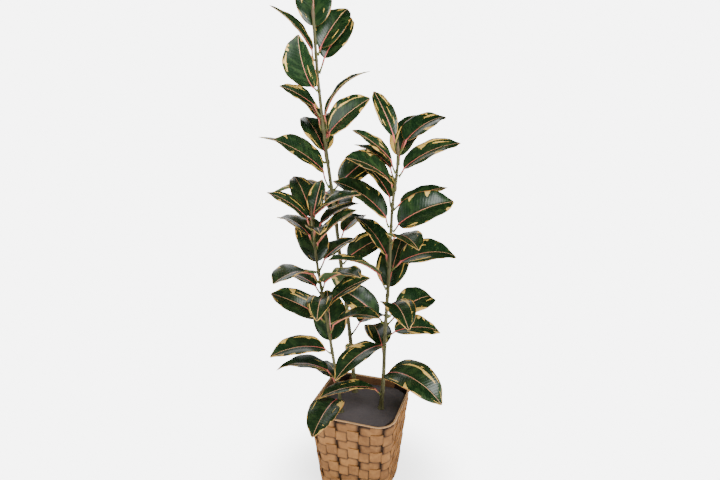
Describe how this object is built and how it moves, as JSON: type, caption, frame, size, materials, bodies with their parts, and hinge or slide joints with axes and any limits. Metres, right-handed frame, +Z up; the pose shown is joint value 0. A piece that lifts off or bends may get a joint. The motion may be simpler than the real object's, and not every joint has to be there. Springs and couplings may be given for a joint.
{
  "type": "potted rubber plant",
  "caption": "Tall variegated rubber plant with slender stems and oval glossy leaves, standing in a square woven basket pot filled with soil.",
  "frame": {"origin": "middle of the flat base of the basket", "axes": "+Z up the plant; X and Y along the basket's sides"},
  "size_m": [0.545, 0.5129, 1.4643],
  "materials": {
    "basket": "woven flat strips, satin",
    "soil": "matt fine grit",
    "stem": "smooth green-brown bark",
    "leaf": "glossy, cream margins"
  },
  "bodies": {
    "root": {"basket": "basket", "soil": "soil", "stem_a": "stem", "stem_b": "stem", "stem_c": "stem", "leaf_a_01": "leaf", "leaf_a_02": "leaf", "leaf_a_03": "leaf", "leaf_a_04": "leaf", "leaf_a_05": "leaf", "leaf_a_06": "leaf", "leaf_a_07": "leaf", "leaf_a_08": "leaf", "leaf_a_09": "leaf", "leaf_a_10": "leaf", "leaf_a_11": "leaf", "leaf_a_12": "leaf", "leaf_a_13": "leaf", "leaf_a_14": "leaf", "leaf_a_15": "leaf", "leaf_a_16": "leaf", "leaf_a_17": "leaf", "leaf_b_01": "leaf", "leaf_b_02": "leaf", "leaf_b_03": "leaf", "leaf_b_04": "leaf", "leaf_b_05": "leaf", "leaf_b_06": "leaf", "leaf_b_07": "leaf", "leaf_b_08": "leaf", "leaf_b_09": "leaf", "leaf_b_10": "leaf", "leaf_b_11": "leaf", "leaf_b_12": "leaf", "leaf_b_13": "leaf", "leaf_b_14": "leaf", "leaf_b_15": "leaf", "leaf_b_16": "leaf", "leaf_b_17": "leaf", "leaf_b_18": "leaf", "leaf_b_19": "leaf", "leaf_b_20": "leaf", "leaf_b_21": "leaf", "leaf_c_01": "leaf", "leaf_c_02": "leaf", "leaf_c_03": "leaf", "leaf_c_04": "leaf", "leaf_c_05": "leaf", "leaf_c_06": "leaf", "leaf_c_07": "leaf", "leaf_c_08": "leaf", "leaf_c_09": "leaf", "leaf_c_10": "leaf", "leaf_c_11": "leaf", "leaf_c_12": "leaf", "leaf_c_13": "leaf", "leaf_c_14": "leaf", "leaf_c_15": "leaf", "leaf_c_16": "leaf", "leaf_c_17": "leaf"}
  },
  "joints": []
}
